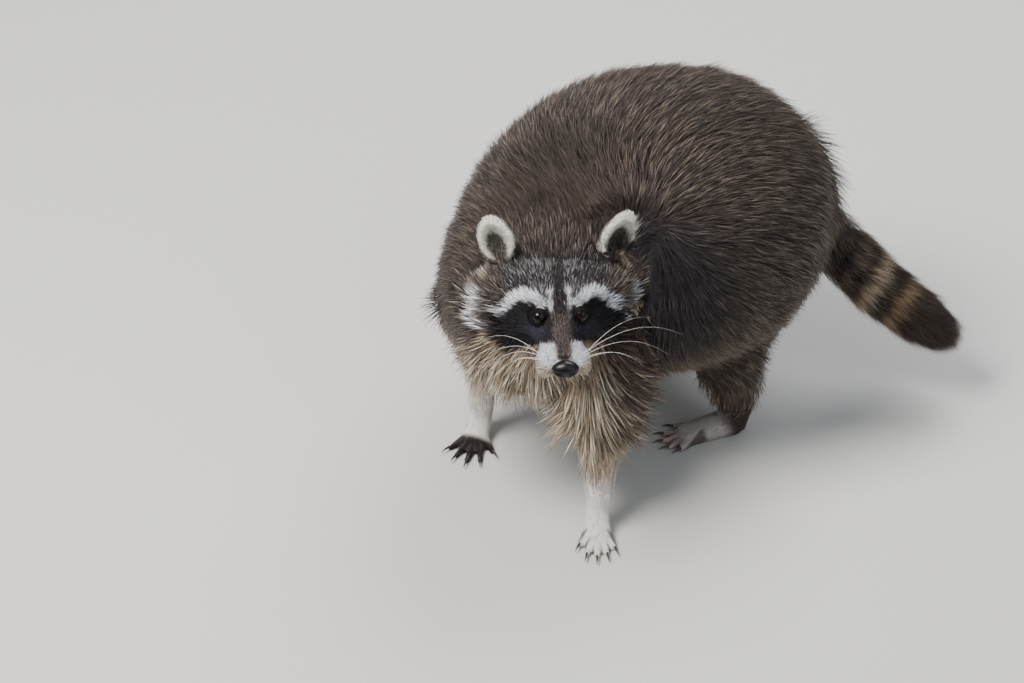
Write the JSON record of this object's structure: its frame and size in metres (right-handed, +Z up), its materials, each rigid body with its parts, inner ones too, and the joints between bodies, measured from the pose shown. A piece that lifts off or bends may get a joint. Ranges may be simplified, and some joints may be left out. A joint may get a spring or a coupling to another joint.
{
  "type": "raccoon",
  "caption": "Life-size still model of a stout adult raccoon standing on all fours, its head turned to one side and one forepaw reaching forward.",
  "frame": {"origin": "middle of the whole model's outline on the ground it stands on", "axes": "+Z up; -Y the way the trunk faces, nose end of the body; +X the animal's left"},
  "size_m": [0.3713, 0.4842, 0.3509],
  "materials": {
    "coat": "dense grizzled fur with a soft sheen",
    "nose": "moist black pebbled skin",
    "eyes": "wet polished dark brown",
    "claws": "smooth horn"
  },
  "bodies": {
    "root": {"head": "coat", "muzzle": "coat", "jaw": "coat", "neck": "coat", "chest": "coat", "belly": "coat", "rump": "coat", "tail_base": "coat", "tail_middle": "coat", "tail_tip": "coat", "fore_left_leg": "coat", "fore_left_paw": "coat", "fore_right_leg": "coat", "fore_right_paw": "coat", "hind_left_leg": "coat", "hind_left_paw": "coat", "hind_right_leg": "coat", "hind_right_paw": "coat", "ear_left": "coat", "ear_right": "coat", "nose": "nose", "eye_left": "eyes", "eye_right": "eyes", "fore_left_claw_1": "claws", "fore_left_claw_2": "claws", "fore_left_claw_3": "claws", "fore_left_claw_4": "claws", "fore_left_claw_5": "claws", "fore_right_claw_1": "claws", "fore_right_claw_2": "claws", "fore_right_claw_3": "claws", "fore_right_claw_4": "claws", "fore_right_claw_5": "claws", "hind_left_claw_1": "claws", "hind_left_claw_2": "claws", "hind_left_claw_3": "claws", "hind_left_claw_4": "claws", "hind_left_claw_5": "claws", "hind_right_claw_1": "claws", "hind_right_claw_2": "claws", "hind_right_claw_3": "claws", "hind_right_claw_4": "claws", "hind_right_claw_5": "claws"}
  },
  "joints": []
}
